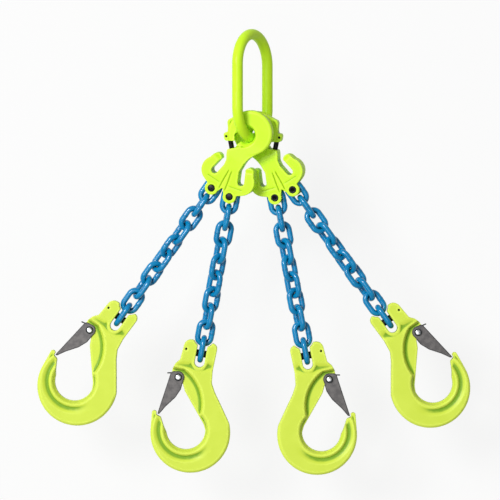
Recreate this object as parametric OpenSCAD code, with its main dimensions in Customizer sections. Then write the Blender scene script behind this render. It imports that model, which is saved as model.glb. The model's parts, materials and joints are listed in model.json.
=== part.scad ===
// Four leg chain sling: a master link, two locking master grab heads, four legs of
// chain and four latched clevis hooks, laid out flat on the floor.
// +Z is up off the floor, the master link points to +Y and the hooks to -Y.

/* [Chain] */
// Wire diameter of the chain
wire_d = 8; // [7.6:0.1:8.4]
// Inside length of one link, its pitch
pitch = 24; // [23:0.5:26]
// Inside width of one link
link_gap_w = 11.2; // [11:0.1:11.6]
// Links in each leg
links = 10; // [8:2:14]

/* [Master link] */
// Bar diameter of the master link
bar_d = 15; // [13:0.5:16]
// Inside length of the master link
ring_len = 130; // [110:5:160]
// Inside width of the master link
ring_w = 71; // [66:1:76]
// Lean of the master link from upright
ring_lean = 29; // [27:1:31]
// Depth of the flat on its upper bar
flat_depth = 1.5; // [1:0.25:2]

/* [Heads] */
// Thickness of a head at its clevises
head_t = 25; // [24:0.5:27]
// Thickness of a head's eye
eye_t = 16; // [14:0.5:18]
// Outer radius of a head's eye
eye_r = 31.4; // [29:0.5:33]
// Distance from the eye's centre down to the leg pins
head_drop = 92.5; // [90:0.5:98]
// Distance between a head's two leg pins
pin_span = 28; // [28:0.5:30]
// Diameter of the pins that hold the chain
pin_d = 10; // [9:0.25:10.5]
// Width of a grab slot
grab_w = 9.2; // [9:0.1:10]
// Lean of each head to its own side
head_lean = 25; // [22:1:26]

/* [Legs] */
// Angle of an outer leg from the sling's centre line
outer_angle = 35.4; // [33:0.5:40]
// Angle of an inner leg from the sling's centre line
inner_angle = 10.7; // [9:0.5:12]

/* [Hooks] */
// Thickness of a hook
hook_t = 24; // [22:0.5:26]
// Radius of the hook's bowl
bowl_r = 27.3; // [25:0.5:29]
// Outer radius of the hook
hook_r = 56; // [54:0.5:60]
// Distance from the load pin to the middle of the bowl
hook_drop = 109.2; // [106:0.5:116]
// Width of the hook's clevis slot
hook_slot_w = 13.8; // [12:0.2:15]
// Thickness of the web that the latch straddles
latch_web = 9; // [8:0.5:11]
// Thickness of the latch's sheet metal
sheet_t = 1.6; // [1.2:0.1:2]

/* [Hidden] */
$fn = 48;
hole_play = 0.05;   // a fixed pin's play in its hole, on the radius
slack = 0.3;        // play between neighbouring links

// Chain
wire_r = wire_d / 2;
crown_r = link_gap_w / 2 + wire_r;           // centre line of a link's round end
link_half = pitch / 2 - link_gap_w / 2;      // half of a link's straight side
link_out = crown_r + wire_r;                 // half of a link's width outside
crown_at = pitch / 2 + wire_r;               // link centre to the middle of its end bar
step = pitch - slack;                        // from one link's centre to the next
pin_r = pin_d / 2;
pin_to_link = pitch / 2 - pin_r - slack;     // pin centre to the nearest link's centre
leg_len = 2 * pin_to_link + (links - 1) * step;

// Heads: both plates are parallel, the front one above the back one
roll = 11;                    // left side down
dip = 6.5;                    // clevises down
front_eye_x = -2.5;           // each eye hangs against its own side of the bow
back_eye_x = 5.5;
eye_gap = 30;                 // height from the back eye to the front eye
body_x = -2.1;                // middle line of a head's lower body
slot_t = wire_d + 3;          // gap between a clevis's two ears
ear_r = pin_r + 4.5;
sweep_r = pin_r + wire_d + 2.5;       // room that a link needs round its pin
grab_c = [20.6, -head_drop + 24.7];   // end of a grab slot, from the body's middle line
grab_r = 19;
grab_lean = 17;
eye_hole_c = [-7.5, -6];
eye_hole_r = 18;
nose_x = -18.5;               // inner side of the eye's nose
s_curve_r = 40;
lug_mid = [-21.5, -22];       // where the locking bolt leaves the lug
seat_mid = [-15.2, -30.8];    // where it meets the shoulder
bolt_r = 3.5;
bolt_in_lug = 10;
bolt_in_seat = 9;
roll_pin_r = 1.6;
lug_pin = [-28.4, -18.4];

// Master link
bar_r = bar_d / 2;
bow_r = ring_w / 2 + bar_r;
ring_half = ring_len / 2 - ring_w / 2;
ring_z = bar_r + bow_r * cos(ring_lean);
eye_y = 3.5;                  // eye centre above the bow bar's middle
flat_len = 34;
flat_from_top = 0.44;         // place of the flat along the ring's length

// Hooks
hook_z = link_out + 0.02;     // load pin height, where its last link touches the floor
bowl_c = [-1.4, -hook_drop];
back_c = [5.6, -hook_drop - 2.8];
rivet = [-25.6, -38.5];
rivet_r = 3;
boss_r = 9.5;
latch_play = 0.4;
latch_half = latch_web / 2 + latch_play + sheet_t;
hook_pin_end = -24;           // inner end of the load pin
hook_roll_pin = [-21.7, 2.7];
tip_play = 0.6;
near_crown = [0, pin_to_link + step - link_half];   // round end of the last link but one
crown_room = link_out + 1.2;

// Vectors
function turn_x(v, a) = [v[0], v[1] * cos(a) - v[2] * sin(a), v[1] * sin(a) + v[2] * cos(a)];
function turn_y(v, a) = [v[0] * cos(a) + v[2] * sin(a), v[1], -v[0] * sin(a) + v[2] * cos(a)];
function turn_z(v, a) = [v[0] * cos(a) - v[1] * sin(a), v[0] * sin(a) + v[1] * cos(a), v[2]];
function arc(c, r, from, to, n = 12) =
    [for (i = [0:n]) c + r * [cos(from + (to - from) * i / n), sin(from + (to - from) * i / n)]];
function flip(points) = [for (i = [len(points) - 1:-1:0]) [-points[i][0], points[i][1]]];
function moved(points, by) = [for (p = points) p + by];

// Sides: -1 is the front head with legs 1 and 2, +1 is the back head with legs 3 and 4.
// The ring's bow crosses both eyes, and its lowest point is the zero of this y.
function eye_z(side) = ring_z - side * eye_gap / 2;
function bow_rise(side) = let (along = eye_gap / 2 / cos(ring_lean)) bow_r - sqrt(bow_r * bow_r - along * along);
function eye_at(side) = [side < 0 ? front_eye_x : back_eye_x, bow_rise(side) + eye_y, eye_z(side)];
function plate(v) = turn_x(turn_y(v, -roll), dip);
// A point of the front head's own frame, or its mirror image on the back head
function on_head(p, side) = eye_at(side) + plate(turn_z([-side * p[0], p[1], p[2]], side * head_lean));
pin_axis = plate([0, 0, 1]);

// Legs 1 to 4 run from left to right
function leg_side(leg) = leg < 3 ? -1 : 1;
function leg_is_outer(leg) = leg == 1 || leg == 4;
function leg_angle(leg) = leg_side(leg) * (leg_is_outer(leg) ? outer_angle : inner_angle);
function leg_pin(leg) = on_head([body_x - (leg_is_outer(leg) ? 1 : -1) * pin_span / 2, -head_drop, 0], leg_side(leg));
function leg_drop(leg) = leg_pin(leg)[2] - hook_z;
function leg_dir(leg) = let (flat = sqrt(leg_len * leg_len - pow(leg_drop(leg), 2)))
    [flat * sin(leg_angle(leg)), -flat * cos(leg_angle(leg)), -leg_drop(leg)] / leg_len;
function hook_pin_at(leg) = leg_pin(leg) + leg_len * leg_dir(leg);
function hook_axis(leg) = [cos(leg_angle(leg)), sin(leg_angle(leg)), 0];
function over_axis(leg) = cross(hook_axis(leg), leg_dir(leg));
// The legs lie with their middle links half turned, and come square at both ends
function plate_roll(leg) = let (w = cross(pin_axis, leg_dir(leg)))
    atan2(w * over_axis(leg), w * hook_axis(leg));
function twist(leg, i) = let (ends = min(i - 1, links - i), first = i <= links / 2 ? plate_roll(leg) : 0)
    first + (45 - first) * min(1, ends / 4);
function link_roll(leg, i) = twist(leg, i) + 90 * (i - 1);
function link_wide(leg, i) = cos(link_roll(leg, i)) * hook_axis(leg) + sin(link_roll(leg, i)) * over_axis(leg);
function link_at(leg, i) = leg_pin(leg) + (pin_to_link + (i - 1) * step) * leg_dir(leg);

// The part's box is centred on x = 0 and y = 0
function hook_back_at(leg) = hook_pin_at(leg) + turn_z([-leg_side(leg) * back_c[0], back_c[1], 0], leg_angle(leg));
y_top = 2 * ring_half + 2 * bow_r + bar_r;
y_low = min(hook_back_at(2)[1], hook_back_at(3)[1]) - hook_r;
home = [-(hook_back_at(1)[0] + hook_back_at(4)[0]) / 2, -(y_top + y_low) / 2, 0];

function numbered(i) = str(i < 10 ? "0" : "", i);
function link_name(leg, i) = str("leg_", leg, "_link_", numbered(i));

// Frames
module at_head(side) {
    translate(eye_at(side) + home) rotate([dip, 0, 0]) rotate([0, -roll, 0])
        rotate([0, 0, side * head_lean]) mirror([side > 0 ? 1 : 0, 0, 0]) children();
}

module at_hook(leg) {
    translate(hook_pin_at(leg) + home) rotate([0, 0, leg_angle(leg)])
        mirror([leg_side(leg) > 0 ? 1 : 0, 0, 0]) children();
}

module at_link(leg, i) {
    w = link_wide(leg, i);
    d = leg_dir(leg);
    n = cross(w, d);
    c = link_at(leg, i) + home;
    multmatrix([[w[0], d[0], n[0], c[0]], [w[1], d[1], n[1], c[1]], [w[2], d[2], n[2], c[2]], [0, 0, 0, 1]])
        children();
}

module slab(t) {
    translate([0, 0, -t / 2]) linear_extrude(t) children();
}

// An oblong ring of round bar, long in y
module oblong(bend_r, r, half) {
    for (end = [0, 180]) rotate([0, 0, end]) {
        translate([0, half, 0]) rotate_extrude(angle = 180) translate([bend_r, 0]) circle(r);
        translate([bend_r, half, 0]) rotate([90, 0, 0]) cylinder(r = r, h = 2 * half);
    }
}

module master_link() color("greenyellow") {
    flat_y = ring_len * (0.5 - flat_from_top);
    translate(home + [0, ring_half + bow_r, ring_z]) rotate([0, 90 - ring_lean, 0]) difference() {
        oblong(bow_r, bar_r, ring_half);
        translate([-bow_r + bar_r - flat_depth, flat_y - flat_len / 2, -bar_r]) cube([bar_r, flat_len, bar_d]);
    }
}

// One side of a head's lower body, from the neck round its grab hook to the notch
// between the two ears, measured from the body's middle line
function lower_side() = concat(
    [[11.8, grab_c[1] + 13]],
    arc(grab_c, grab_w / 2, 180 + grab_lean, 360 + grab_lean),
    [grab_c + [-0.4, 16]],
    arc(grab_c + [4.6, 17.3], 6.8, 170, 30),
    arc(grab_c + [0, 0.8], grab_r, 45, -62),
    arc([pin_span / 2, -head_drop], ear_r, 30, -178),
    [[0, -head_drop + 7.5]]);

// Outline of a head, from the eye's back round the body and up to the eye's nose
function head_outline() = concat(
    arc([0, 0], eye_r, 154, -45, 30),
    arc((eye_r + s_curve_r) * [cos(45), -sin(45)], s_curve_r, 137, 180),
    moved(lower_side(), [body_x, 0]),
    moved(flip(lower_side()), [body_x, 0]),
    [[-13.9, -47], [-17, -40], [-19.2, -34], [-4, -22.6]],
    arc(eye_hole_c, eye_hole_r, -74, acos((nose_x - eye_hole_c[0]) / eye_hole_r), 24),
    [[nose_x, -11.6], [-14.4, -18.8], [-25.8, -24.4], [-28.8, -23.9], [-32.9, -18.3], [-33, -15.1],
     [-29.3, -12.5], [-30.7, -8.1], [-35.8, 0.8], [-35.4, 4.3]]);

// Runs its children along the locking bolt, z from the shoulder's seat up to the lug
module along_bolt() {
    d = lug_mid - seat_mid;
    translate([seat_mid[0], seat_mid[1], 0]) rotate([0, 0, atan2(d[1], d[0])]) rotate([0, 90, 0]) children();
}

module bolt_shape(play) {
    gap = norm(lug_mid - seat_mid);
    along_bolt() translate([0, 0, -bolt_in_seat - play])
        cylinder(r = bolt_r + play, h = bolt_in_seat + gap + bolt_in_lug + 2 * play);
}

module head(side) {
    at_head(side) difference() {
        union() {
            slab(eye_t) polygon(head_outline());
            intersection() {
                slab(head_t) polygon(head_outline());
                translate([-60, -head_drop - 20, -head_t]) cube([120, head_drop - 18, 2 * head_t]);
            }
        }
        slab(slot_t) {
            for (x = [-1, 1]) translate([body_x + x * pin_span / 2, -head_drop]) circle(sweep_r);
            translate([-60, -head_drop - 20]) square([120, 29.5]);
        }
        for (x = [-1, 1]) translate([body_x + x * pin_span / 2, -head_drop, -head_t])
            cylinder(r = pin_r + hole_play, h = 2 * head_t);
        bolt_shape(hole_play);
        translate([lug_pin[0], lug_pin[1], -eye_t]) cylinder(r = roll_pin_r + hole_play, h = 2 * eye_t);
    }
}

module head_front() color("greenyellow") head(-1);

module head_back() color("greenyellow") head(1);

// The locking bolt and the roll pin that holds it in the lug
module eye_bolt(side) color("dimgray") at_head(side) {
    difference() {
        bolt_shape(0);
        translate([lug_pin[0], lug_pin[1], -eye_t]) cylinder(r = roll_pin_r + hole_play, h = 2 * eye_t);
    }
    translate([lug_pin[0], lug_pin[1], -eye_t / 2]) cylinder(r = roll_pin_r, h = eye_t);
}

module leg_pins(side) color("black") at_head(side)
    for (x = [-1, 1]) translate([body_x + x * pin_span / 2, -head_drop, -head_t / 2]) cylinder(r = pin_r, h = head_t);

module chain_link(leg, i) color("steelblue") at_link(leg, i) oblong(crown_r, wire_r, link_half);

// Outline of a hook that opens to its left, with the load pin's middle at its origin
function hook_outline() = concat(
    arc([-16, 7], 10, 180, 80),
    arc(near_crown, crown_room, 208, 180 + acos(hook_slot_w / 2 / crown_room)),
    arc([0, -19.5 + hook_slot_w / 2], hook_slot_w / 2, 180, 360),
    arc(near_crown, crown_room, -acos(hook_slot_w / 2 / crown_room), -29),
    arc([13, 9], 8, 80, 0),
    [[20.4, -22], [22.4, -38.7], [29, -50.5], [38.5, -63.5]],
    arc(back_c, hook_r, 24, -173, 36),
    [back_c + [-58.5, 19.6], back_c + [-55.8, 22], back_c + [-52, 20.6], back_c + [-51.8, 16],
     back_c + [-45.1, 14.4], back_c + [-38.5, 2]],
    arc(bowl_c, bowl_r, 198, 370, 24),
    [[21.4, bowl_c[1] + 12.7], [10.1, bowl_c[1] + 25.9], [-12.9, -56]],
    arc(rivet, boss_r, -40, -180),
    [[-35.6, -27.3], [-33, -20], [-27.5, -13.5]]);

module hook(leg) color("yellowgreen") at_hook(leg) difference() {
    slab(hook_t) polygon(hook_outline());
    // recess on both faces that leaves the web for the latch
    for (face = [0, 1]) mirror([0, 0, face]) translate([0, 0, latch_web / 2]) linear_extrude(hook_t)
        polygon([[-60, -28.8], [-35.4, -28.8], [-19.5, -29.1], [-5, -42.6], [6.9, -64],
                 [11.6, bowl_c[1] + 26.5], [0, -90], [-44, -60]]);
    // groove between the bowl's rim and the outer web
    for (face = [0, 1]) mirror([0, 0, face]) translate([0, 0, hook_t / 2 - 3]) linear_extrude(hook_t)
        polygon(concat(arc(bowl_c, bowl_r + 9, 205, 345, 20), arc(bowl_c, bowl_r + 15, 345, 205, 20)));
    translate([hook_pin_end, 0, 0]) rotate([0, 90, 0]) cylinder(r = pin_r + hole_play, h = 60);
    translate([hook_roll_pin[0], hook_roll_pin[1], -hook_t]) cylinder(r = roll_pin_r + hole_play, h = 2 * hook_t);
    translate([rivet[0], rivet[1], -hook_t]) cylinder(r = rivet_r + hole_play, h = 2 * hook_t);
}

// Side of the latch, from its rivet down to its tip in the hook's nose
function latch_outline() = concat(
    arc(rivet, 8.5, -20, 95, 8),
    [[-34.5, -31.5], [-37, -34.2]],
    [back_c + [-50.8 + tip_play, 20.2], back_c + [-50.8 + tip_play, 17.2], back_c + [-47.5, 18.2],
     back_c + [-40.9, 29.7], [-24.1, -67.2], [-18.8, -55]]);

module latch(leg) color("gray") at_hook(leg) difference() {
    slab(2 * latch_half) polygon(latch_outline());
    // the bent sheet is open towards the hook's web
    slab(2 * (latch_half - sheet_t)) polygon(moved(latch_outline(), [sheet_t, 0]));
    slab(2 * (latch_half - sheet_t)) translate(rivet - [boss_r + latch_play, 2.5])
        square([2 * boss_r, 3 * boss_r]);
    translate([rivet[0], rivet[1], -hook_t]) cylinder(r = rivet_r + 2 * hole_play, h = 2 * hook_t);
}

// The load pin, the roll pin that holds it and the rivet that carries the latch
module hook_pins(leg) at_hook(leg) {
    color("black") difference() {
        translate([hook_pin_end + hole_play, 0, 0]) rotate([0, 90, 0]) cylinder(r = pin_r, h = 20.2 - hook_pin_end);
        translate([hook_roll_pin[0], hook_roll_pin[1], -hook_t])
            cylinder(r = roll_pin_r + hole_play, h = 2 * hook_t);
    }
    color("black") translate([hook_roll_pin[0], hook_roll_pin[1], -hook_t / 2])
        cylinder(r = roll_pin_r, h = hook_t);
    color("silver") translate([rivet[0], rivet[1], 0]) {
        translate([0, 0, -latch_half - 2]) cylinder(r = rivet_r, h = 2 * latch_half + 4);
        for (face = [0, 1]) mirror([0, 0, face]) translate([0, 0, latch_half + latch_play / 2])
            cylinder(r = rivet_r + 1.6, h = 1.8);
    }
}

master_link();
head_front();
head_back();
eye_bolt(-1);  // eye_bolt_front
eye_bolt(1);  // eye_bolt_back
leg_pins(-1);  // leg_pins_front
leg_pins(1);  // leg_pins_back
for (leg = [1:4]) for (i = [1:links])
    chain_link(leg, i);
for (leg = [1:4]) hook(leg);
for (leg = [1:4]) latch(leg);
for (leg = [1:4]) hook_pins(leg);
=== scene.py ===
"""The finished look of a four leg chain sling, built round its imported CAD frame."""

import json
import math

import bpy
import numpy as np
from mathutils import Matrix, Vector


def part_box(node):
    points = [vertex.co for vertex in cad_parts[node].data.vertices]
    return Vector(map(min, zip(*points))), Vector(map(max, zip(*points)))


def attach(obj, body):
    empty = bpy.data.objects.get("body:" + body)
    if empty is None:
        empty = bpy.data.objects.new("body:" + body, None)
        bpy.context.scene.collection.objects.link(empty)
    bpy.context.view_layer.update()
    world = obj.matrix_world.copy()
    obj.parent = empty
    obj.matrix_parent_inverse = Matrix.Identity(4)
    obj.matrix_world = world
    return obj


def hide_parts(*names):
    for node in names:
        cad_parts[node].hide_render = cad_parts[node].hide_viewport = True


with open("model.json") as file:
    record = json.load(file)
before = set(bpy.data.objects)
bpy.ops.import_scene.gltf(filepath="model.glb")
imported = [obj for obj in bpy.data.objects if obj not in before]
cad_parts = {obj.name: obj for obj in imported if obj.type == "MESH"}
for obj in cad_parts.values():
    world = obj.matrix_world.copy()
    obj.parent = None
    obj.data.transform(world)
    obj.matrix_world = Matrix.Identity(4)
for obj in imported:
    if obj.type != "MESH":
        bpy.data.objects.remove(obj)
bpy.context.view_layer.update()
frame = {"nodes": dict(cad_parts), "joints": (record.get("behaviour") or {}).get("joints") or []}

MM = 0.001

# Sizes of the sling, in metres
WIRE_R = 4 * MM                 # chain wire
LINK_BEND_R = 9.6 * MM          # centre line of a link's round end
LINK_HALF = 6.4 * MM            # half of a link's straight side
PIN_TO_LINK = 6.7 * MM          # leg pin to the middle of the first link
LINK_STEP = 23.7 * MM           # one link's middle to the next
BAR_R = 7.5 * MM                # master link's bar
RING_BEND_R = 43 * MM
RING_HALF = 29.5 * MM
RING_LEAN = math.radians(29)
PIN_R = 5 * MM
PIN_SPAN = 28 * MM
HEAD_DROP = 92.5 * MM           # eye's centre to the leg pins
HEAD_BODY_X = -2.1 * MM         # middle line of a head's lower body
HEAD_T = 25 * MM
EYE_T = 16 * MM                 # the CAD head's lower step, at its eye
HOOK_T = 24 * MM
HOOK_STEP_T = 18 * MM           # the CAD hook's lower step
BAR_GAP = 0.8 * MM              # least gap between a head and the master link's bar
FLOOR_DEPTH = 145 * MM          # below the lowest reach of a swinging leg

# Places on a head and a hook, in their own frames
EYE_HOLE = Vector((-3.4, -4.8, 0)) * MM
LINING_WAIST = 11.5 * MM        # radius left free inside the eye's lining
LINING_R = 6 * MM
LINING_RISE = 1.4               # height of the lining's section, to its width
THROAT_DEG = (195, 250)         # the part of the eye that has no lining
LUG_PIN = Vector((-28.4, -18.4, 0)) * MM
BOLT_ENDS = Vector((-21.5, -22, 0)) * MM, Vector((-15.2, -30.8, 0)) * MM
RIVET = Vector((-25.6, -38.5, 0)) * MM
ROLL_PIN = Vector((-21.7, 2.7, 0)) * MM
LOAD_PIN = Vector((-2, 0, 0)) * MM

# How the surfaces are made
HEAD_VOXEL = 0.6 * MM
HOOK_VOXEL = 0.62 * MM
LATCH_VOXEL = 0.4 * MM
FORGED_ROUNDS = 9               # smoothing rounds of a forging
SWING_STEPS = 7                 # angles at which a head is eased off the bar

LEGS = (1, 2, 3, 4)
LINKS = 10
HEADS = {"head_front": (1, 2), "head_back": (4, 3)}     # outer leg, inner leg
JOINTS = {j["name"]: j for j in frame["joints"]}


# ---------------------------------------------------------------- modelling
def begin():
    if bpy.context.object and bpy.context.object.mode != "OBJECT":
        bpy.ops.object.mode_set(mode="OBJECT")
    bpy.ops.object.select_all(action="DESELECT")


def chosen(name):
    """Names the piece that the last operator made, and gives its mesh its place."""
    piece = bpy.context.object
    piece.name = name
    piece.data.name = name
    bpy.ops.object.transform_apply(location=True, rotation=True, scale=True)
    return piece


def pick(piece):
    begin()
    piece.select_set(True)
    bpy.context.view_layer.objects.active = piece


def edit(piece, mode="VERT"):
    pick(piece)
    bpy.ops.object.mode_set(mode="EDIT")
    bpy.ops.mesh.select_mode(type=mode)
    bpy.ops.mesh.select_all(action="DESELECT")
    bpy.ops.object.mode_set(mode="OBJECT")


def select_faces(piece, test):
    for f in piece.data.polygons:
        f.select = bool(test(f))
    bpy.ops.object.mode_set(mode="EDIT")


def finished():
    bpy.ops.object.mode_set(mode="OBJECT")


def modified(piece, kind, **settings):
    """Adds a modifier and applies it."""
    pick(piece)
    m = piece.modifiers.new(kind.lower(), kind)
    for key, value in settings.items():
        setattr(m, key, value)
    bpy.ops.object.modifier_apply(modifier=m.name)
    return piece


def joined(name, *pieces):
    begin()
    for p in pieces:
        p.select_set(True)
    bpy.context.view_layer.objects.active = pieces[0]
    if len(pieces) > 1:
        bpy.ops.object.join()
    pieces[0].name = pieces[0].data.name = name
    return pieces[0]


def rod(name, r, start, end, sides=48, chamfer=0.0):
    """A round bar between two points, with chamfered rims where a chamfer is given."""
    begin()
    start, end = Vector(start), Vector(end)
    along = end - start
    turn = along.to_track_quat("Z", "Y").to_euler()
    bpy.ops.mesh.primitive_cylinder_add(vertices=sides, radius=r, depth=along.length,
                                        location=(start + end) / 2, rotation=turn)
    bar = chosen(name)
    if chamfer:
        modified(bar, "BEVEL", width=chamfer, segments=3, limit_method="ANGLE", angle_limit=math.radians(60))
    return bar


def bench_copy(node, name, matrix):
    """A merged copy of a CAD node, carried back into its own frame."""
    begin()
    piece = frame["nodes"][node].copy()
    piece.data = piece.data.copy()
    for key in list(piece.keys()):
        del piece[key]
    piece.parent = None
    bpy.context.scene.collection.objects.link(piece)
    piece.name = piece.data.name = name
    piece.data.transform(matrix.inverted())
    edit(piece)
    bpy.ops.object.mode_set(mode="EDIT")
    bpy.ops.mesh.select_all(action="SELECT")
    bpy.ops.mesh.remove_doubles(threshold=0.01 * MM)
    if matrix.determinant() < 0:
        bpy.ops.mesh.flip_normals()
    finished()
    return piece


def lift(piece, low, high):
    """Raises the lower step of a plate on both faces, so that the die alone shapes it."""
    for v in piece.data.vertices:
        if abs(abs(v.co.z) - low) < 0.05 * MM:
            v.co.z = math.copysign(high, v.co.z)
    return piece


def forged(piece, voxel, rounds):
    """Turns crisp solids that run into each other into one forging with rounded edges."""
    modified(piece, "REMESH", mode="VOXEL", voxel_size=voxel, adaptivity=0.0)
    modified(piece, "SMOOTH", factor=0.5, iterations=rounds)
    pick(piece)
    bpy.ops.object.shade_smooth()
    return piece


def relief(piece, rounds=24, depth=0.25 * MM):
    """Stores how far each point lies in a recess or out on an edge, as masks for painted shade and painted
    highlights.
    """
    mesh = piece.data
    count = len(mesh.vertices)
    points = np.empty(count * 3)
    mesh.vertices.foreach_get("co", points)
    points = points.reshape(-1, 3)
    normals = np.empty(count * 3)
    mesh.vertices.foreach_get("normal", normals)
    normals = normals.reshape(-1, 3)
    edges = np.empty(len(mesh.edges) * 2, int)
    mesh.edges.foreach_get("vertices", edges)
    a, b = edges.reshape(-1, 2).T
    share = np.maximum(np.bincount(np.concatenate([a, b]), minlength=count), 1)
    soft = points.copy()
    for _ in range(rounds):
        soft = np.stack([(np.bincount(a, soft[b, k], count) + np.bincount(b, soft[a, k], count)) / share
                         for k in range(3)], axis=1)
    height = ((points - soft) * normals).sum(axis=1) / depth
    for name, value in (("recess", -height), ("edge", height)):
        stored = mesh.attributes.new(name, "FLOAT", "POINT")
        stored.data.foreach_set("value", np.clip(value, 0, 1).astype(np.float32))
    return piece


def placed(piece, name, matrix, body, finish, slot, *nodes):
    """Sets a copy of a finished piece in its place on the sling."""
    copy = piece.copy()
    copy.data = piece.data.copy()
    bpy.context.scene.collection.objects.link(copy)
    copy.name = copy.data.name = name
    copy.data.transform(matrix)
    if matrix.determinant() < 0:
        edit(copy)
        bpy.ops.object.mode_set(mode="EDIT")
        bpy.ops.mesh.select_all(action="SELECT")
        bpy.ops.mesh.flip_normals()
        finished()
    copy.data.materials.clear()
    copy.data.materials.append(finish)
    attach(copy, body)
    if nodes:
        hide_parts(*nodes)
    return copy


# ---------------------------------------------------------------- finishes
class Value:
    """A shader number whose arithmetic adds Math nodes."""

    def __init__(self, finish, socket):
        self.finish = finish
        self.socket = socket

    def maths(self, operation, *terms):
        return Value(self.finish, self.finish.node("ShaderNodeMath", {"operation": operation},
                                                   dict(enumerate(terms))).outputs[0])

    def __add__(self, other):
        return self.maths("ADD", self, other)

    def __sub__(self, other):
        return self.maths("SUBTRACT", self, other)

    def __rsub__(self, other):
        return self.maths("SUBTRACT", other, self)

    def __mul__(self, other):
        return self.maths("MULTIPLY", self, other)

    __radd__ = __add__
    __rmul__ = __mul__

    def between(self, low, high):
        """0 at low, 1 at high, eased between."""
        ramp = self.finish.node("ShaderNodeMapRange", {"interpolation_type": "SMOOTHSTEP"},
                                {"Value": self, "From Min": low, "From Max": high})
        return Value(self.finish, ramp.outputs["Result"])


class Finish:
    """A procedural material with one Principled shader."""

    def __init__(self, name, **constants):
        self.material = bpy.data.materials.new(name)
        self.material.use_nodes = True
        self.tree = self.material.node_tree
        self.shader = self.tree.nodes["Principled BSDF"]
        for socket, value in constants.items():
            self.shader.inputs[socket.replace("_", " ")].default_value = value

    def node(self, kind, settings, sockets):
        made = self.tree.nodes.new(kind)
        for key, value in settings.items():
            setattr(made, key, value)
        for key, value in sockets.items():
            self.put(made.inputs[key], value)
        return made

    def put(self, socket, value):
        if isinstance(value, Value):
            value = value.socket
        if isinstance(value, bpy.types.NodeSocket):
            self.tree.links.new(value, socket)
        else:
            socket.default_value = value

    def where(self):
        return self.node("ShaderNodeTexCoord", {}, {}).outputs["Object"]

    def noise(self, scale, detail=3.0, rough=0.5, vector=None):
        made = self.node("ShaderNodeTexNoise", {}, {"Vector": vector or self.where(), "Scale": scale,
                                                    "Detail": detail, "Roughness": rough})
        return Value(self, made.outputs["Fac"])

    def attribute(self, name):
        return Value(self, self.node("ShaderNodeAttribute", {"attribute_name": name}, {}).outputs["Fac"])

    def blend(self, amount, first, second):
        made = self.node("ShaderNodeMix", {"data_type": "RGBA"}, {0: amount, 6: first, 7: second})
        return made.outputs[2]

    def bump(self, height, strength, distance):
        made = self.node("ShaderNodeBump", {}, {"Height": height, "Strength": strength, "Distance": distance})
        self.put(self.shader.inputs["Normal"], made.outputs["Normal"])

    def done(self, **varying):
        for socket, value in varying.items():
            self.put(self.shader.inputs[socket.replace("_", " ")], value)
        return self.material


def paint_colour(code):
    """A colour from its six-figure sRGB code, as linear light."""
    parts = [int(code[i:i + 2], 16) / 255 for i in (0, 2, 4)]
    return tuple(p / 12.92 if p <= 0.04045 else ((p + 0.055) / 1.055) ** 2.4 for p in parts) + (1.0,)


def powder_coat(name, face, recess_shade_and_speck, pale_mottle_and_edge_highlight):
    """Powder coat over a forging: a fine orange peel, with painted shade in recesses and a painted highlight
    on edges.
    """
    f = Finish(name, Coat_Roughness=0.2, Specular_IOR_Level=0.12)
    cloud = f.noise(45.0, 4.0)
    peel = f.noise(850.0, 2.0)
    lumps = f.noise(130.0, 3.0)
    colour = f.blend((cloud - 0.35).between(0, 0.4) * 0.22, face, pale_mottle_and_edge_highlight)
    # painted highlight: the edges that stand out are made paler
    colour = f.blend(f.attribute("edge").between(0.15, 0.9) * 0.55, colour, pale_mottle_and_edge_highlight)
    # painted shade: the recesses are darkened
    colour = f.blend(f.attribute("recess").between(0.05, 1.1) * 0.9, colour, recess_shade_and_speck)
    specks = f.noise(1500.0, 1.0).between(0.68, 0.74)
    colour = f.blend(specks * 0.12, colour, recess_shade_and_speck)
    f.bump(peel * 0.35 + lumps * 0.65, 0.22, 0.6 * MM)
    return f.done(Base_Color=colour, Roughness=peel * 0.12 + cloud * 0.1 + 0.3,
                  Coat_Weight=0.14 - cloud * 0.08)


def chain_paint():
    """Blue enamel, with painted shade where links nest, darker at the weld, and a few pale specks."""
    f = Finish("chain_enamel", Coat_Roughness=0.12, Specular_IOR_Level=0.25)
    cloud = f.noise(90.0, 4.0)
    grit = f.noise(1100.0, 2.0)
    colour = f.blend((cloud - 0.3).between(0, 0.45) * 0.5, paint_colour("0086BC"), paint_colour("006EA4"))
    # painted shade where the next link sits inside a round end
    colour = f.blend(f.attribute("nest") * 0.85, colour, paint_colour("062E42"))
    colour = f.blend(f.attribute("weld").between(0.3, 1.0) * 0.5, colour, paint_colour("0A5C8C"))
    scale = f.noise(600.0, 3.0).between(0.66, 0.75)
    colour = f.blend(scale * 0.2, colour, paint_colour("5FB4DC"))
    f.bump(grit * 0.4 + cloud * 0.6, 0.3, 0.5 * MM)
    return f.done(Base_Color=colour, Roughness=grit * 0.15 + 0.22,
                  Coat_Weight=0.7 - f.attribute("nest") * 0.6)


def blackened_steel(name, tone, gloss):
    f = Finish(name)
    cloud = f.noise(160.0, 4.0)
    grit = f.noise(1400.0, 2.0)
    colour = f.blend(cloud.between(0.35, 0.7) * 0.6, paint_colour(tone), paint_colour("2A2A2E"))
    f.bump(grit, 0.25, 0.25 * MM)
    return f.done(Base_Color=colour, Roughness=gloss + grit * 0.2, Metallic=0.55 + cloud * 0.2)


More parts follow.
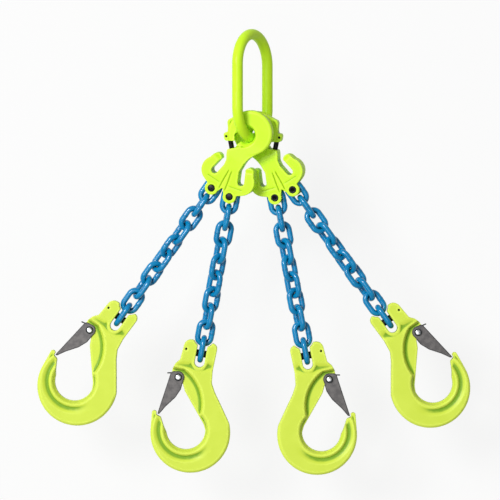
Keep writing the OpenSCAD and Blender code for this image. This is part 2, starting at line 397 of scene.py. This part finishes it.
def latch_plate():
    """Zinc plated sheet, its grain drawn by rolling, with painted shade on its folded edges."""
    f = Finish("latch_zinc")
    stretched = f.node("ShaderNodeMapping", {}, {"Vector": f.where(), "Scale": (1.0, 0.12, 1.0)})
    grain = f.noise(900.0, 3.0, vector=stretched.outputs["Vector"])
    cloud = f.noise(140.0, 4.0)
    colour = f.blend(cloud.between(0.35, 0.65) * 0.7, paint_colour("676463"), paint_colour("4C4A4B"))
    # painted shade: the sheet's edges are darkened
    colour = f.blend(f.attribute("edge").between(0.1, 0.8) * 0.8, colour, paint_colour("2E2E30"))
    f.bump(grain, 0.2, 0.25 * MM)
    return f.done(Base_Color=colour, Roughness=grain * 0.2 + 0.34, Metallic=0.35 + cloud * 0.2)


def bright_steel(name, tone):
    f = Finish(name)
    cloud = f.noise(300.0, 3.0)
    f.bump(f.noise(1600.0, 2.0), 0.12, 0.2 * MM)
    colour = f.blend(cloud.between(0.3, 0.7) * 0.5, paint_colour(tone), paint_colour("8E8F92"))
    return f.done(Base_Color=colour, Roughness=cloud * 0.15 + 0.16, Metallic=0.9 + cloud * 0.1)


# the second colour of each powder coat is its painted shade in recesses, also used for dark specks; the third
# is its pale mottle and painted edge highlight
LIME = powder_coat("lime_powder_coat", paint_colour("C8F42A"), paint_colour("7E9E00"), paint_colour("D8FF46"))
HOOK_LIME = powder_coat("hook_powder_coat", paint_colour("CCE048"), paint_colour("6C9E22"),
                        paint_colour("DEF060"))
BLUE = chain_paint()
BLACK = blackened_steel("black_oxide", "0B0B0D", 0.34)
SPRING = blackened_steel("spring_wire", "1C2526", 0.28)
ZINC = latch_plate()
STEEL = bright_steel("rivet_steel", "D8DADC")


# ---------------------------------------------------------------- frames of the pieces
def joint(name):
    return Vector(JOINTS[name]["pos_m"]), Vector(JOINTS[name]["axis"]).normalized()


def frame_of(x, y, z, origin):
    m = Matrix((x, y, z)).transposed().to_4x4()
    m.translation = origin
    return m


def hook_frame(leg):
    """Origin at the load pin's middle; x along the pin, away from the hook's mouth; z up."""
    pin, axis = joint(f"hook_{leg}_swing")
    z = Vector((0, 0, 1))
    y = z.cross(axis)
    return frame_of(axis if leg < 3 else -axis, y, z, pin)


def head_frame(head):
    """Origin at the eye's centre; y up to the eye; z along the leg pins."""
    outer, inner = (joint(f"leg_{leg}_link_01_swing") for leg in HEADS[head])
    x = (inner[0] - outer[0]).normalized()
    z = outer[1]
    y = z.cross(x) if head == "head_front" else x.cross(z)
    return frame_of(x, y, z, (outer[0] + inner[0]) / 2 - HEAD_BODY_X * x + HEAD_DROP * y)


def link_frame(leg, i):
    """Origin at the link's middle; y along the leg; x across the link."""
    pin, _ = joint(f"leg_{leg}_link_01_swing")
    end, load_axis = joint(f"hook_{leg}_swing")
    along = (end - pin).normalized()
    wide = joint(f"leg_{leg}_link_{i + 1:02d}_swing")[1] if i < LINKS else load_axis.cross(along)
    wide = (wide - wide.dot(along) * along).normalized()
    return frame_of(wide, along, wide.cross(along), pin + (PIN_TO_LINK + (i - 1) * LINK_STEP) * along)


# ---------------------------------------------------------------- dies
def ease(value, low, high):
    """0 at low, 1 at high, with a smooth run between them."""
    t = np.clip((value - low) / (high - low), 0, 1)
    return t * t * (3 - 2 * t)


def far(x, y, centre):
    return np.hypot(x - centre[0], y - centre[1])


def pressed(piece, die, voxel, rounds):
    """Presses both faces of a plate down to a die, whose half height at x, y is in millimetres."""
    modified(piece, "REMESH", mode="VOXEL", voxel_size=voxel, adaptivity=0.0)
    mesh = piece.data
    points = np.empty(len(mesh.vertices) * 3, np.float32)
    mesh.vertices.foreach_get("co", points)
    points = points.reshape(-1, 3)
    half = die(points[:, 0] / MM, points[:, 1] / MM) * MM
    points[:, 2] = np.clip(points[:, 2], -half, half)
    mesh.vertices.foreach_set("co", points.ravel())
    mesh.update()
    return forged(piece, voxel, rounds)


def line_gap(x, y, a, b):
    """Distance from x, y to the line between two points."""
    ax, ay = a
    dx, dy = b[0] - ax, b[1] - ay
    t = np.clip(((x - ax) * dx + (y - ay) * dy) / (dx * dx + dy * dy), 0, 1)
    return np.hypot(x - ax - t * dx, y - ay - t * dy)


def head_die(x, y):
    """Half thickness of a head, in millimetres: an eye that thickens to a flat body, with pressed details."""
    eye_half, body_half = 8.2, 12.5
    half = eye_half + (body_half - eye_half) * ease(-y, 8, 44)
    # the lug and the nose stay as thin as the eye
    half = half - (half - eye_half) * ease(-x, 17.5, 20) * ease(y, -37, -33)
    # the eye's outer rim is bevelled
    half = half - 1.6 * ease(y, -30, -22) * ease(far(x, y, (0, 0)), 28.6, 31.6)
    body = x - HEAD_BODY_X / MM
    drop = y + HEAD_DROP / MM
    # two narrow grooves that spread downwards
    spread = 2.2 + 1.9 * ease(-y, 56, 84)
    half = half - 1.0 * ease(-y, 54, 64) * (1 - ease(abs(abs(body) - spread), 0.3, 1.5))
    for side in (-1, 1):
        # a faint crease above each leg pin, a ring round it, and a slanted facet on each grab hook's tip
        crease = line_gap(body, y, (side * 7, -79.5), (side * 26, -77))
        half = half - 0.4 * (1 - ease(crease, 0.2, 1.9))
        pin = far(body, drop, (side * PIN_SPAN / 2 / MM, 0))
        half = half - 0.4 * (1 - ease(abs(pin - 7.8), 0.2, 1.2))
        tip_x, tip_y = side * 25.2, 42
        along = (side * (body - tip_x)) * -0.35 + (drop - tip_y) * 0.94
        near_tip = 1 - ease(far(body, drop, (tip_x, tip_y)), 7.5, 11)
        half = half - 3.4 * near_tip * ease(along, -1.5, 5.5)
    return half


def hook_die(x, y):
    """Half thickness of a hook, in millimetres: a rounded bowl, a groove outside it, a latch pocket."""
    full, pocket = HOOK_T / 2 / MM, 4.5
    bowl_x, bowl_y = -1.4, -109.2
    r = far(x, y, (bowl_x, bowl_y))
    turn = np.degrees(np.arctan2(y - bowl_y, x - bowl_x)) % 360
    around = ease(turn, 138, 170) * (1 - ease(turn, 272, 350))
    in_bowl = ease(-y, 64, 78)
    # the bowl's inner edge is rounded, most on the shank's side
    half = full - (5.2 + 2.0 * ease(x, 0, 20)) * in_bowl * (1 - ease(r, 27.0, 34)) ** 1.6
    # a groove runs round the bowl, and the metal outside it is a little lower
    half = half - 3.0 * around * ease(r, 33.5, 37.5) * (1 - ease(r, 38.5, 46))
    half = half - 0.8 * around * ease(r, 38, 44)
    # the outer edge of the bowl is bevelled
    edge = 56 - far(x, y, (5.6, -112))
    start = np.where(x < 0, 70, 86)
    half = half - 2.2 * ease(-y, start, start + 14) * (1 - ease(edge, 0.2, 3.2))
    # the latch's pocket is part of a disc and ends above the bowl
    wall = np.maximum(far(x, y, (-44, -80)) - 56.4, y + 29)
    below = np.where(x < -20, ease(-y, 80, 86), ease(-y, 100, 108))
    half = np.minimum(half, pocket + (full - pocket) * np.maximum(ease(wall, -0.3, 5.2), below))
    # a crease below the clevis fades out towards the slot, and the nose is thinner
    slot = far(x, y, (0, -12.6))
    slot = np.where(y > -12.6, abs(x), slot)
    half = half - 1.9 * np.exp(-((y + 18 - 0.15 * x) / 5.0) ** 2) * ease(slot, 9.6, 12.6)
    nose = ease(-x, 38, 50) * ease(y, -104, -90)
    return half - 2.6 * nose


# ---------------------------------------------------------------- pieces
def make_master_link():
    """An oblong ring of round bar; its upper bar is pressed flat inside and a little outside."""
    begin()
    around = 96
    bpy.ops.mesh.primitive_torus_add(major_segments=around, minor_segments=48, major_radius=RING_BEND_R,
                                     minor_radius=BAR_R, rotation=(0, 0, math.pi / around))
    ring = chosen("master_link_bench")
    for side in (-1, 1):
        edit(ring)
        for v in ring.data.vertices:
            v.select = v.co.y * side > 0
        bpy.ops.object.mode_set(mode="EDIT")
        bpy.ops.transform.translate(value=(0, side * RING_HALF, 0))
        finished()
    edit(ring, "EDGE")
    for e in ring.data.edges:
        a, b = (ring.data.vertices[i].co for i in e.vertices)
        e.select = a.y * b.y < 0 and (a - b).length > RING_HALF
    bpy.ops.object.mode_set(mode="EDIT")
    bpy.ops.mesh.subdivide(number_cuts=40)
    finished()
    waist_y, waist_half, depth = 7.8 * MM, 17 * MM, 1.5 * MM
    for v in ring.data.vertices:
        if v.co.x < 0:
            run = 1 - float(ease(abs(v.co.y - waist_y), waist_half - 2 * MM, waist_half + 6 * MM))
            v.co.x -= run * max(0, v.co.x + RING_BEND_R - BAR_R + depth)
            v.co.x += run * max(0, 0.5 * MM - RING_BEND_R - BAR_R - v.co.x)
    bpy.ops.object.shade_smooth()
    return ring


def make_link():
    """One chain link: a bent wire whose weld stands a little proud on one straight side."""
    begin()
    around, across = 56, 20
    bpy.ops.mesh.primitive_torus_add(major_segments=around, minor_segments=across, major_radius=LINK_BEND_R,
                                     minor_radius=WIRE_R, rotation=(0, 0, math.pi / around))
    link = chosen("link_bench")
    for side in (-1, 1):
        edit(link)
        for v in link.data.vertices:
            v.select = v.co.y * side > 0
        bpy.ops.object.mode_set(mode="EDIT")
        bpy.ops.transform.translate(value=(0, side * LINK_HALF, 0))
        finished()
    edit(link, "EDGE")
    for e in link.data.edges:
        a, b = (link.data.vertices[i].co for i in e.vertices)
        e.select = a.y * b.y < 0 and (a - b).length > LINK_HALF
    bpy.ops.object.mode_set(mode="EDIT")
    bpy.ops.mesh.subdivide(number_cuts=14)
    finished()
    count = len(link.data.vertices)
    weld, nest = np.zeros(count, np.float32), np.zeros(count, np.float32)
    for n, v in enumerate(link.data.vertices):
        straight = abs(v.co.y) < LINK_HALF
        if straight and v.co.x > 0:
            bulge = math.exp(-((v.co.y / (1.7 * MM)) ** 2))
            middle = Vector((LINK_BEND_R, v.co.y, 0))
            v.co = middle + (v.co - middle) * (1 + 0.07 * bulge)
            weld[n] = bulge
        # the inside of each round end, where the next link sits, is marked for painted shade
        inward = LINK_BEND_R - math.hypot(v.co.x, max(0.0, abs(v.co.y) - LINK_HALF))
        crown = float(ease(abs(v.co.y), LINK_HALF * 0.9, LINK_HALF + 4 * MM))
        nest[n] = float(ease(inward, 0.5 * MM, 3.4 * MM)) * crown
    for name, value in (("weld", weld), ("nest", nest)):
        link.data.attributes.new(name, "FLOAT", "POINT").data.foreach_set("value", value)
    bpy.ops.object.shade_smooth()
    return link


def make_lining():
    """The rounded inside of an eye: an arc of a tall ring, open at the throat."""
    begin()
    bpy.ops.mesh.primitive_torus_add(major_segments=96, minor_segments=32, minor_radius=LINING_R,
                                     major_radius=LINING_WAIST + LINING_R)
    lining = chosen("lining_bench")
    edit(lining)
    for v in lining.data.vertices:
        v.select = THROAT_DEG[0] < math.degrees(math.atan2(v.co.y, v.co.x)) % 360 < THROAT_DEG[1]
    bpy.ops.object.mode_set(mode="EDIT")
    bpy.ops.mesh.delete(type="VERT")
    bpy.ops.mesh.select_all(action="SELECT")
    bpy.ops.mesh.fill_holes(sides=0)
    bpy.ops.mesh.select_all(action="SELECT")
    bpy.ops.transform.resize(value=(1, 1, LINING_RISE), center_override=(0, 0, 0))
    bpy.ops.transform.translate(value=EYE_HOLE)
    finished()
    return lining


def make_head():
    plate = lift(bench_copy("head_front", "head_bench", head_frame("head_front")), EYE_T / 2, HEAD_T / 2)
    plate = joined("head_bench", plate, make_lining())
    return relief(pressed(plate, head_die, HEAD_VOXEL, FORGED_ROUNDS))


def clear_of_bar(piece, swing, ring_frame):
    """Eases a head's eye off the master link's bar, over the whole of its swing."""
    pivot, axis = joint(swing)
    mesh = piece.data
    points = np.empty(len(mesh.vertices) * 3)
    mesh.vertices.foreach_get("co", points)
    points = points.reshape(-1, 3)
    for angle in np.linspace(*JOINTS[swing]["range_deg"], SWING_STEPS):
        turn = Matrix.Rotation(math.radians(angle), 4, axis)
        turn = Matrix.Translation(pivot) @ turn @ Matrix.Translation(-pivot)
        m = np.array(ring_frame.inverted() @ turn)
        local = points @ m[:3, :3].T + m[:3, 3]
        centre = np.zeros_like(local)
        centre[:, 1] = np.clip(local[:, 1], -RING_HALF, RING_HALF)
        out = local - centre
        out[:, 2] = 0
        out /= np.linalg.norm(out, axis=1, keepdims=True)
        nearest = centre + out * RING_BEND_R
        away = local - nearest
        gap = np.linalg.norm(away, axis=1, keepdims=True)
        local = nearest + away * np.maximum(gap, BAR_R + BAR_GAP) / gap
        points = (local - m[:3, 3]) @ m[:3, :3]
    mesh.vertices.foreach_set("co", points.ravel())
    mesh.update()


def make_hook():
    hook = lift(bench_copy("hook_1", "hook_bench", hook_frame(1)), HOOK_STEP_T / 2, HOOK_T / 2)
    return relief(pressed(hook, hook_die, HOOK_VOXEL, FORGED_ROUNDS))


def make_latch():
    latch = bench_copy("latch_1", "latch_bench", hook_frame(1))
    return relief(forged(latch, LATCH_VOXEL, 3), rounds=14, depth=0.16 * MM)


def dimpled(bar, length, r, sink, dimple):
    """Sinks a round dimple with a soft rim into both ends of a bar that lies along z on its bench."""
    for side in (-1, 1):
        edit(bar, "FACE")
        select_faces(bar, lambda f: side * f.center.z > length / 2 - 0.05 * MM and abs(f.normal.z) > 0.9
                     and f.center.xy.length < 0.1 * MM)
        bpy.ops.mesh.inset(thickness=r - dimple)
        bpy.ops.mesh.extrude_region_move(TRANSFORM_OT_translate={"value": (0, 0, -side * sink)})
        bpy.ops.transform.resize(value=(0.7, 0.7, 1))
        finished()
    return bar


def bar_on_bench(name, r, length, chamfer, sink, dimple):
    bar = rod(name, r, (0, 0, -length / 2), (0, 0, length / 2), chamfer=chamfer)
    dimpled(bar, length, r, sink, dimple)
    modified(bar, "WEIGHTED_NORMAL")
    pick(bar)
    bpy.ops.object.shade_smooth_by_angle(angle=math.radians(35))
    return bar


def make_rivet(half):
    """A rivet with a washer and a domed head on each face."""
    shank = rod("rivet_bench", 3 * MM, (0, 0, -half), (0, 0, half))
    parts = [shank]
    for side in (-1, 1):
        washer = rod("washer", 4.9 * MM, (0, 0, side * (half - 1.9 * MM)), (0, 0, side * (half - 0.9 * MM)),
                     chamfer=0.25 * MM)
        dome = rod("dome", 3.9 * MM, (0, 0, side * (half - 1.0 * MM)), (0, 0, side * (half + 0.9 * MM)),
                   chamfer=0.9 * MM)
        parts += [washer, dome]
    rivet = joined("rivet_bench", *parts)
    pick(rivet)
    bpy.ops.object.shade_smooth_by_angle(angle=math.radians(35))
    return rivet


def make_spring():
    """A double torsion spring: a coil round the rivet on each face, with a free leg that points outwards."""
    wire, coil_r, turns, coil_z = 0.75 * MM, 4.4 * MM, 1.7, 7.3 * MM
    halves = []
    for side in (-1, 1):
        points = []
        steps = 40
        for k in range(steps + 1):
            a = math.radians(200) + turns * 2 * math.pi * k / steps
            z = coil_z + 2 * wire * turns * (0.5 - k / steps)
            points.append(RIVET + Vector((coil_r * math.cos(a), coil_r * math.sin(a), side * z)))
        last = points[-1]
        lead = (points[-1] - points[-2]).normalized()
        for reach, drop in ((5, 0.3), (10, 1.0), (16, 1.6)):
            bend = Vector((0.0, -0.012 * reach * reach, 0)) * MM
            points.append(last + lead * reach * MM + bend - Vector((0, 0, side * drop * MM)))
        curve = bpy.data.curves.new("spring_half", "CURVE")
        curve.dimensions = "3D"
        curve.bevel_depth = wire
        curve.bevel_resolution = 4
        curve.use_fill_caps = True
        spline = curve.splines.new("POLY")
        spline.points.add(len(points) - 1)
        for p, at in zip(spline.points, points):
            p.co = (*at, 1)
        half = bpy.data.objects.new("spring_half", curve)
        bpy.context.scene.collection.objects.link(half)
        pick(half)
        bpy.ops.object.convert(target="MESH")
        halves.append(bpy.context.object)
    spring = joined("spring_bench", *halves)
    pick(spring)
    bpy.ops.object.shade_smooth()
    return spring


def at(matrix, point, along="z"):
    """A bench frame moved to a point, with its z turned along one of the frame's axes."""
    turn = {"z": Matrix.Identity(4), "x": Matrix.Rotation(math.pi / 2, 4, "Y")}[along]
    return matrix @ Matrix.Translation(point) @ turn


# ---------------------------------------------------------------- the sling
bench = []


def on_bench(piece):
    bench.append(piece)
    return piece


low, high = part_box("master_link")
ring = on_bench(make_master_link())
ring_frame = Matrix.Translation((low + high) / 2) @ Matrix.Rotation(math.pi / 2 - RING_LEAN, 4, "Y")
placed(ring, "master_link_bar", ring_frame, "master_link", LIME, "lime_paint", "master_link")

link = on_bench(make_link())
for leg in LEGS:
    for i in range(1, LINKS + 1):
        node = f"leg_{leg}_link_{i:02d}"
        placed(link, f"chain_{leg}_{i:02d}", link_frame(leg, i), node, BLUE, "blue_chain", node)

head = on_bench(make_head())
leg_pin = on_bench(bar_on_bench("leg_pin_bench", PIN_R, HEAD_T + 0.6 * MM, 0.7 * MM, 0.5 * MM, 1.6 * MM))
lug_pin = on_bench(bar_on_bench("lug_pin_bench", 1.6 * MM, EYE_T - 1.2 * MM, 0.2 * MM, 2.5 * MM, 0.9 * MM))
bolt = on_bench(bar_on_bench("bolt_bench", 3.5 * MM, 26 * MM, 0.5 * MM, 1.0 * MM, 1.5 * MM))
lug, seat = BOLT_ENDS
for name, (outer, inner) in HEADS.items():
    side = name.removeprefix("head_")
    m = head_frame(name)
    forging = placed(head, f"{name}_forging", m, name, LIME, "lime_paint", name)
    clear_of_bar(forging, f"{name}_swing", ring_frame)
    for leg, x in ((outer, -1), (inner, 1)):
        pin = Vector((HEAD_BODY_X + x * PIN_SPAN / 2, -HEAD_DROP, 0))
        placed(leg_pin, f"leg_pin_{leg}", at(m, pin), name, BLACK, "black_steel", f"leg_pins_{side}")
    placed(lug_pin, f"lug_roll_pin_{side}", at(m, LUG_PIN), name, BLACK, "black_steel", f"eye_bolt_{side}")
    along = (lug - seat).to_track_quat("Z", "Y").to_matrix().to_4x4()
    placed(bolt, f"locking_bolt_{side}", m @ Matrix.Translation((lug + seat) / 2) @ along, name, BLACK,
           "black_steel", f"eye_bolt_{side}")

hook = on_bench(make_hook())
latch = on_bench(make_latch())
load_pin = on_bench(bar_on_bench("load_pin_bench", PIN_R, 43.5 * MM, 0.7 * MM, 0.5 * MM, 1.6 * MM))
roll_pin = on_bench(bar_on_bench("roll_pin_bench", 1.6 * MM, HOOK_T - 2.4 * MM, 0.2 * MM, 2.5 * MM, 0.9 * MM))
rivet = on_bench(make_rivet(8.5 * MM))
spring = on_bench(make_spring())
for leg in LEGS:
    m = hook_frame(leg)
    body, pins = f"hook_{leg}", f"hook_pins_{leg}"
    placed(hook, f"hook_{leg}_forging", m, body, HOOK_LIME, "hook_paint", body)
    placed(load_pin, f"load_pin_{leg}", at(m, LOAD_PIN, "x"), body, BLACK, "black_steel", pins)
    placed(roll_pin, f"roll_pin_{leg}", at(m, ROLL_PIN), body, BLACK, "black_steel", pins)
    placed(rivet, f"latch_rivet_{leg}", at(m, RIVET), body, STEEL, "latch_steel", pins)
    placed(spring, f"latch_spring_{leg}", m, body, SPRING, "latch_steel")
    placed(latch, f"latch_{leg}_plate", m, f"latch_{leg}", ZINC, "latch_steel", f"latch_{leg}")

for piece in bench:
    bpy.data.objects.remove(piece)


# ---------------------------------------------------------------- studio
def make_floor():
    begin()
    bpy.ops.mesh.primitive_plane_add(size=12, location=(0, 0, -FLOOR_DEPTH))
    floor = chosen("studio_floor")
    f = Finish("studio_paper", Roughness=0.9, Base_Color=(0.72, 0.72, 0.72, 1))
    glow = f.node("ShaderNodeEmission", {}, {"Color": (1, 1, 1, 1), "Strength": 1.0})
    rays = f.node("ShaderNodeLightPath", {}, {})
    seen = Value(f, rays.outputs["Is Camera Ray"])
    mixed = f.node("ShaderNodeMixShader", {}, {0: seen * 0.85, 1: f.shader.outputs[0], 2: glow.outputs[0]})
    f.put(f.tree.nodes["Material Output"].inputs["Surface"], mixed.outputs[0])
    floor.data.materials.append(f.material)


def lamp(name, place, size, power):
    data = bpy.data.lights.new(name, "AREA")
    data.size, data.energy = size, power
    light = bpy.data.objects.new(name, data)
    light.location = place
    light.rotation_euler = (-Vector(place)).to_track_quat("-Z", "Y").to_euler()
    bpy.context.scene.collection.objects.link(light)


scene = bpy.context.scene
scene.view_settings.view_transform = "Standard"
make_floor()
lamp("key", (-2.8, 1.6, 5.2), 2.2, 325)
lamp("top", (-0.8, -0.8, 6.0), 3.2, 66)
world = bpy.data.worlds.new("studio")
world.use_nodes = True
world.node_tree.nodes["Background"].inputs["Color"].default_value = (1, 1, 1, 1)
world.node_tree.nodes["Background"].inputs["Strength"].default_value = 0.24
scene.world = world

VIEW_CENTRE = Vector((-5.3, 3.5, 30)) * MM
VIEW_SIDE = 700 * MM
camera = bpy.data.objects.new("camera", bpy.data.cameras.new("camera"))
camera.data.lens = 250
camera.data.sensor_width = 36
camera.location = VIEW_CENTRE + Vector((0, 0, VIEW_SIDE / camera.data.sensor_width * camera.data.lens))
scene.collection.objects.link(camera)
scene.camera = camera
